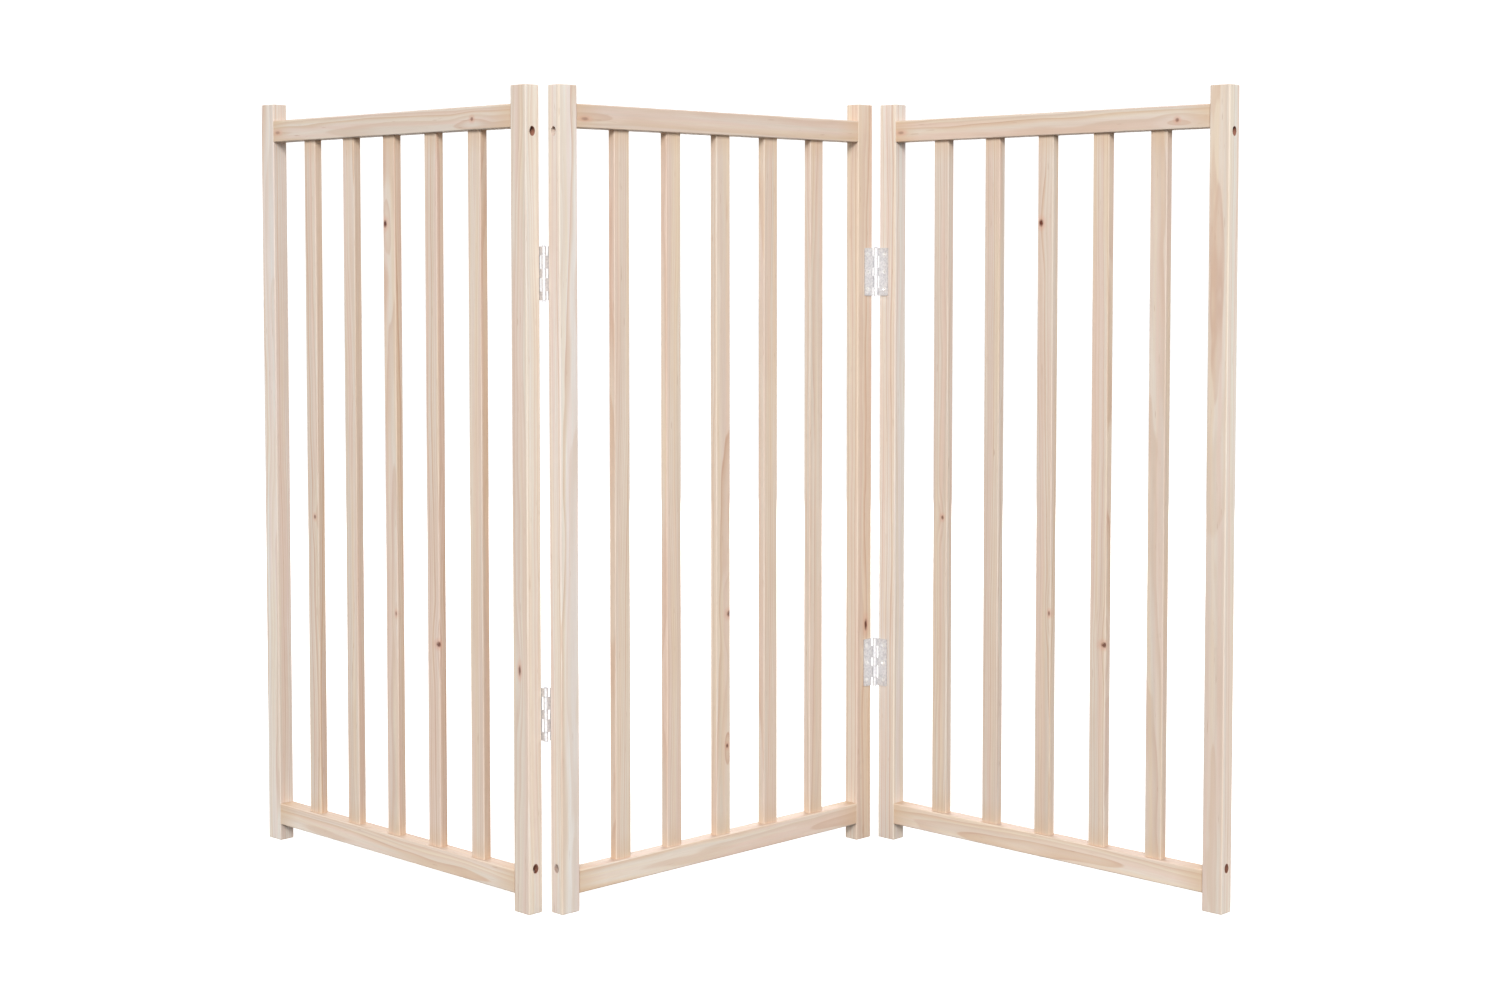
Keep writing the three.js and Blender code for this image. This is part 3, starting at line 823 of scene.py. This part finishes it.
def threaded_shank(name, radius, root, tip, top, pitch, point, segments=24):
    """A wood screw's shank from its point up: one skin whose radius follows a helical thread."""
    rows = int((top - tip) / (pitch / THREAD_ROWS))
    rings = []
    for i in range(rows + 1):
        z = tip + (top - tip) * i / rows
        taper = min(1.0, BLUNT_TIP + (z - tip) / point)
        fade = min(1.0, max(0.0, (top - z) / (PLAIN_TURNS * pitch)))
        ring = []
        for k in range(segments):
            a = 2 * math.pi * k / segments
            turn = (z / pitch - k / segments) % 1.0
            crest = max(0.0, 1 - abs(turn - 0.5) * THREAD_SHARPNESS) * fade
            r = (root + (radius - root) * crest) * taper
            ring.append((r * math.cos(a), r * math.sin(a), z))
        rings.append(ring)
    return new_object(name, *loft(rings))


def joined(name, parts):
    """One object from several."""
    verts, faces = [], []
    for part in parts:
        start = len(verts)
        verts += [v.co[:] for v in part.data.vertices]
        faces += [tuple(start + i for i in p.vertices) for p in part.data.polygons]
        mesh = part.data
        bpy.data.objects.remove(part)
        bpy.data.meshes.remove(mesh)
    return new_object(name, verts, faces)


def frame_screw(name):
    """A flat-topped wood screw on Z, its head's seat on the counterbore's floor."""
    seat = JOINT_GAP - BORE_DEPTH
    top = seat + SCREW_HEAD_DEPTH
    r = SCREW_HEAD_RADIUS
    profile = [
        (0, seat),
        (r - 0.3 * MM, seat),
        (r, seat + 0.3 * MM),
        (r, top - 1.1 * MM),
        (r - 0.35 * MM, top - 0.5 * MM),
        (r - 1.1 * MM, top - 0.12 * MM),
        (r - 2 * MM, top),
        (0, top),
    ]
    head = turned(profile, name + "_head")
    combine(head, cross_recess(radius=2 * MM, depth=1.5 * MM, width=1 * MM, top=top))
    shank = threaded_shank(
        name + "_shank",
        radius=SCREW_RADIUS,
        root=1.3 * MM,
        tip=seat - SCREW_LENGTH,
        top=seat + 0.2 * MM,
        pitch=1.8 * MM,
        point=5 * MM,
    )
    return joined(name, [head, shank])


def leaf_screw(name):
    """A small countersunk wood screw on Z, its head's rim a little under Z = 0 and its crown above."""
    r = LEAF_SINK_RADIUS - 0.12 * MM
    crown = 0.2 * MM
    neck = -LEAF_THICKNESS - 0.15 * MM
    profile = [
        (0, neck),
        (1.25 * MM, neck),
        (r - 0.1 * MM, -0.28 * MM),
        (r, -0.14 * MM),
        (r - 0.15 * MM, 0.04 * MM),
        (r - 1.1 * MM, 0.16 * MM),
        (0, crown),
    ]
    head = turned(profile, name + "_head")
    combine(head, cross_recess(radius=1.75 * MM, depth=1 * MM, width=0.85 * MM, top=crown))
    shank = threaded_shank(
        name + "_shank",
        radius=1.45 * MM,
        root=1 * MM,
        tip=-12 * MM,
        top=neck + 0.1 * MM,
        pitch=1.3 * MM,
        point=3.2 * MM,
        segments=16,
    )
    return joined(name, [head, shank])


def make_frame_screws(panel, rng):
    for level in ("top", "bottom"):
        for side in ("left", "right"):
            node = f"{panel}_panel_{level}_{side}_screw"
            ob = frame_screw(node + "_steel")
            place = PANELS[panel] @ screw_frame(side, level) @ Matrix.Rotation(rng.uniform(0, 3.1), 4, "Z")
            finish_piece(ob, SCREW_METAL, panel + "_panel", node, place)


# ---- Hinges ------------------------------------------------------------------------------------------
# In a hinge's frame the pin is on Z, X runs from it towards the leaf's post, and Y out from the face.

HINGE_LENGTH = sum(KNUCKLES)
PLATE_LOW = LEAF_LIFT - PIN_OFF_FACE
PLATE_HIGH = PLATE_LOW + LEAF_THICKNESS
PLATE_NEAR_EDGE = PIN_PAST_POST + LEAF_SETBACK
PLATE_FAR_EDGE = PIN_PAST_POST + LEAF_COVER
PLATE_CORNER = 1.6 * MM
CURL_FROM = -92  # degrees round the pin
CURL_TO = 208
CURL_STEPS = 30
STRIP_OVERLAP = 1 * MM  # how far a knuckle's strip runs into the plate
STRIP_SHOULDER = 0.6 * MM
SINK_SIDES = 32
SINK_OVERRUN = 0.4 * MM
PIN_END_PLAY = 0.2 * MM
SCREW_SINK = 0.05 * MM


def knuckle_spans():
    top = HINGE_LENGTH / 2
    spans = []
    for length in KNUCKLES:
        spans.append((top - length + KNUCKLE_GAP / 2, top - KNUCKLE_GAP / 2))
        top -= length
    return spans


def curl(low, high):
    """One knuckle: the leaf's strip runs in from the plate and curls right round the pin."""
    bore_radius = PIN_RADIUS + PIN_CLEARANCE
    outside, inside = [], []
    for i in range(CURL_STEPS + 1):
        a = math.radians(CURL_FROM + (CURL_TO - CURL_FROM) * i / CURL_STEPS)
        outside.append((-BARREL_RADIUS * math.cos(a), BARREL_RADIUS * math.sin(a)))
        inside.append((-bore_radius * math.cos(a), bore_radius * math.sin(a)))
    far = PLATE_NEAR_EDGE + STRIP_OVERLAP
    strip = [(STRIP_SHOULDER, PLATE_HIGH), (far, PLATE_HIGH)]
    outline = [(far, PLATE_LOW)] + outside + inside[::-1] + strip
    rings = [[(x, y, z) for x, y in outline] for z in (low, high)]
    return new_object("knuckle", *loft(rings), smooth=False)


def plate(low, high):
    """The leaf's flat plate, with its two far corners rounded."""
    outline = [(PLATE_NEAR_EDGE, low)]
    for z, start in ((low + PLATE_CORNER, -90), (high - PLATE_CORNER, 0)):
        for step in range(0, 91, 15):
            corner = PLATE_CORNER * heading_vector(start + step)
            outline.append((PLATE_FAR_EDGE - PLATE_CORNER + corner.x, z + corner.y))
    outline.append((PLATE_NEAR_EDGE, high))
    rings = [[(x, y, z) for x, z in outline] for y in (PLATE_LOW, PLATE_HIGH)]
    return new_object("plate", *loft(rings), smooth=False)


def leaf_sink(inset, height):
    """The cutter for one of a leaf's screw holes and its countersink."""
    profile = (
        (LEAF_HOLE_RADIUS, -0.6 * MM),
        (LEAF_HOLE_RADIUS, 0.12 * MM),
        (LEAF_SINK_RADIUS, LEAF_THICKNESS),
        (LEAF_SINK_RADIUS + SINK_OVERRUN, LEAF_THICKNESS + SINK_OVERRUN),
    )
    rings = []
    for radius, y in profile:
        ring = oval(radius, radius, sides=SINK_SIDES)
        rings.append([(PIN_PAST_POST + inset + u, PLATE_LOW + y, height + w) for u, w, _ in ring])
    return new_object("sink", *loft(rings))


def make_leaf(name, holds_outer):
    """A stamped leaf: its plate, its own knuckles and its screw holes, with every edge broken."""
    spans = knuckle_spans()
    ob = plate(spans[-1][0], spans[0][1])
    ob.name = name
    own = [curl(*span) for i, span in enumerate(spans) if (i % 2 == 0) == holds_outer]
    combine(ob, own, "UNION")
    combine(ob, [leaf_sink(*hole) for hole in LEAF_HOLES])
    return edged(ob, width=0.16 * MM, segments=2, angle=40)


def make_pin(name):
    """A hinge pin with a domed head on each end."""
    end = HINGE_LENGTH / 2 + PIN_END_PLAY
    upper = [
        (PIN_RADIUS, end),
        (2.1 * MM, end),
        (2.2 * MM, end + 0.35 * MM),
        (1.95 * MM, end + 0.75 * MM),
        (1.2 * MM, end + 0.98 * MM),
        (0, end + 1 * MM),
    ]
    lower = [(r, -z) for r, z in upper[::-1]]
    return turned(lower + [(PIN_RADIUS, 0)] + upper, name)


def hinge_frame(end, side, height):
    """A leaf's frame in its panel. A leaf of the other hand is the mirror image."""
    at = pin_in_panel(end, side)
    mirror = Matrix.Diagonal((1 if end == "left" else -1, 1 if side == "rear" else -1, 1, 1))
    return Matrix.Translation((at.x, at.y, height)) @ mirror


def make_hinge(line, level, side, leaves, rng):
    for panel, end, holds_outer in leaves:
        body = panel + "_panel"
        place = PANELS[panel] @ hinge_frame(end, side, HINGE_HEIGHTS[level])
        node = f"{line}_{level}_hinge_{panel}_leaf"
        leaf = make_leaf(node + "_plate", holds_outer)
        finish_piece(leaf, ZINC, body, node, place)
        if holds_outer:
            pin_node = f"{line}_{level}_hinge_pin"
            pin = make_pin(pin_node + "_steel")
            finish_piece(pin, PIN_METAL, body, pin_node, place)
        for number, (inset, height) in enumerate(LEAF_HOLES, 1):
            screw = leaf_screw(f"{line}_{level}_hinge_{panel}_screw_{number}")
            stand = Matrix.Rotation(math.radians(-90), 4, "X") @ Matrix.Rotation(rng.uniform(0, 1.5), 4, "Z")
            at = Matrix.Translation((PIN_PAST_POST + inset, PLATE_HIGH - SCREW_SINK, height))
            finish_piece(screw, SCREW_METAL, body, None, place @ at @ stand)


# ---- Build -------------------------------------------------------------------------------------------

rng = random.Random(17)
for panel in PANELS:
    for side in ("left", "right"):
        make_post(panel, side, rng)
    for level in ("top", "bottom"):
        make_rail(panel, level, rng)
    for number, x in enumerate(slat_middles(), 1):
        make_slat(panel, number, x, rng)
    make_frame_screws(panel, rng)

HINGE_LINES = {
    "left": ("rear", [("left", "right", True), ("middle", "left", False)]),
    "right": ("front", [("right", "left", True), ("middle", "right", False)]),
}
for line, (side, leaves) in HINGE_LINES.items():
    for level in HINGE_HEIGHTS:
        make_hinge(line, level, side, leaves, rng)

# ---- Stage, light and camera -------------------------------------------------------------------------


FLOOR_RADII = (0.5, 2, 8, 40)
FLOOR_SIDES = 96


def make_floor():
    """A pale round floor, wide enough to reach the horizon. It glows a little and lights nothing else."""
    n = Nodes("pale_floor")
    at = n.add("ShaderNodeTexCoord").outputs["Object"]
    cloud = n.noise(at, 2.0, 3.0)
    pale = n.mix(n.between(cloud, 0.3, 0.7), (0.93, 0.93, 0.93, 1), (0.95, 0.95, 0.95, 1))
    n.link(pale, n.shader.inputs["Base Color"])
    n.shader.inputs["Roughness"].default_value = 0.9
    n.shader.inputs["Specular IOR Level"].default_value = 0.1
    n.shader.inputs["Emission Color"].default_value = (1, 1, 1, 1)
    n.shader.inputs["Emission Strength"].default_value = 0.52
    verts = [p for radius in FLOOR_RADII for p in oval(radius, radius, sides=FLOOR_SIDES)]
    faces = [tuple(range(FLOOR_SIDES))]
    for ring in range(len(FLOOR_RADII) - 1):
        inner = ring * FLOOR_SIDES
        outer = inner + FLOOR_SIDES
        for k in range(FLOOR_SIDES):
            m = (k + 1) % FLOOR_SIDES
            faces.append((inner + k, outer + k, outer + m, inner + m))
    floor = new_object("floor", verts, faces)
    floor.data.materials.append(n.material)
    floor.visible_diffuse = False


def make_world():
    """A white studio: bright walls, a dimmer ceiling, and hardly any light from below the horizon."""
    world = bpy.data.worlds.new("studio")
    bpy.context.scene.world = world
    world.use_nodes = True
    tree = world.node_tree
    tree.nodes.clear()
    out = tree.nodes.new("ShaderNodeOutputWorld")
    light = tree.nodes.new("ShaderNodeBackground")
    ramp = tree.nodes.new("ShaderNodeValToRGB")
    split = tree.nodes.new("ShaderNodeSeparateXYZ")
    coord = tree.nodes.new("ShaderNodeTexCoord")
    shift = tree.nodes.new("ShaderNodeMapRange")
    shift.inputs["From Min"].default_value = -1
    tree.links.new(coord.outputs["Generated"], split.inputs[0])
    tree.links.new(split.outputs["Z"], shift.inputs[0])
    tree.links.new(shift.outputs[0], ramp.inputs[0])
    tree.links.new(ramp.outputs[0], light.inputs["Color"])
    tree.links.new(light.outputs[0], out.inputs["Surface"])
    stops = ((0.0, 0.03), (0.47, 0.06), (0.485, 1.18), (0.64, 1.2), (1.0, 0.1))
    while len(ramp.color_ramp.elements) < len(stops):
        ramp.color_ramp.elements.new(0.5)
    for element, (position, value) in zip(ramp.color_ramp.elements, stops):
        element.position, element.color = position, (value, value, value, 1)
    light.inputs["Strength"].default_value = 1.0


def area_light(name, at, target, size, power):
    data = bpy.data.lights.new(name, "AREA")
    data.shape, data.size, data.energy = "DISK", size, power
    ob = bpy.data.objects.new(name, data)
    bpy.context.collection.objects.link(ob)
    ob.location = at
    ob.rotation_euler = (Vector(target) - Vector(at)).to_track_quat("-Z", "Y").to_euler()


def make_camera():
    data = bpy.data.cameras.new("camera")
    data.sensor_width, data.lens = 36, 55.54
    data.shift_x, data.shift_y = 0.001, -0.08
    data.clip_start, data.clip_end = 0.05, 200
    ob = bpy.data.objects.new("camera", data)
    bpy.context.collection.objects.link(ob)
    ob.location = (0.0291, -2.6932, 0.7204)
    ob.rotation_euler = (math.radians(90 - 2.976), 0, math.radians(-0.08))
    bpy.context.scene.camera = ob


make_floor()
make_world()
area_light("key", (-0.3, -6.6, 4.2), (0, 0, 0.45), 3.0, 455)
area_light("fill", (0.3, 3.8, 1.6), (0, 0, 0.45), 2.6, 85)
make_camera()
bpy.context.scene.view_settings.view_transform = "Standard"
bpy.context.scene.view_settings.look = "None"
